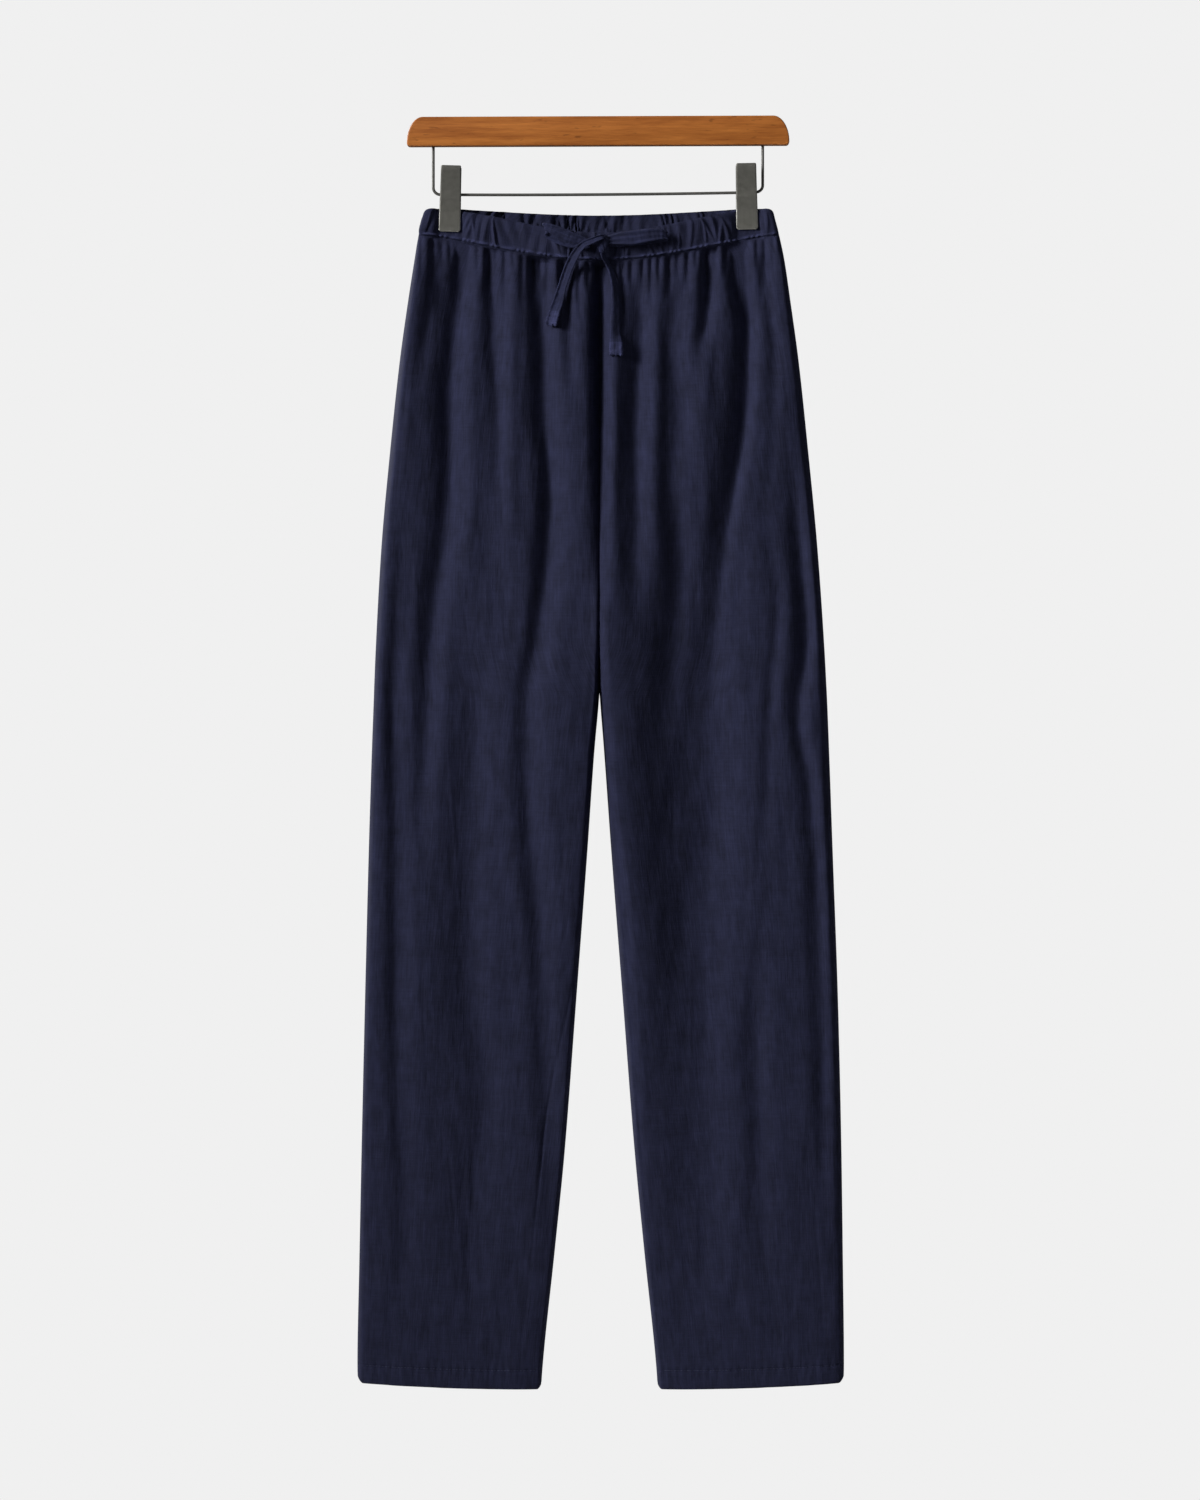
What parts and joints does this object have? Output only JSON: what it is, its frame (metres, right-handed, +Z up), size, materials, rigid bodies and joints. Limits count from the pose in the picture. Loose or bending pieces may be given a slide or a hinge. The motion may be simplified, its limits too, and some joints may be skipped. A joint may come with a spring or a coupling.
{
  "type": "linen drawstring trousers on a clip hanger",
  "caption": "Wide straight linen trousers with a gathered drawstring waist, pinched flat by two clips under a wooden bar hanger.",
  "frame": {"origin": "middle of the top face of the hanger's wooden bar", "axes": "+X to the viewer's right along the bar, +Y from the front of the trousers to the back, +Z up"},
  "size_m": [0.4371, 0.0764, 1.144],
  "materials": {
    "linen": "plain-woven navy linen, matt and slubby",
    "tape": "folded tape of the same navy linen",
    "bar_wood": "satin-lacquered warm brown wood",
    "rail_steel": "satin steel wire",
    "clip_metal": "dark grey satin plate"
  },
  "bodies": {
    "root": {"front_left": "linen", "front_right": "linen", "back_left": "linen", "back_right": "linen", "waistband_front": "linen", "waistband_back": "linen", "drawstring_knot": "tape", "drawstring_loop_left": "tape", "drawstring_loop_right": "tape", "drawstring_tail_left": "tape", "drawstring_tail_right": "tape", "hanger_bar": "bar_wood", "hanger_rail": "rail_steel", "clip_left_front": "clip_metal", "clip_left_back": "clip_metal", "clip_left_spring": "rail_steel", "clip_right_front": "clip_metal", "clip_right_back": "clip_metal", "clip_right_spring": "rail_steel"}
  },
  "joints": []
}
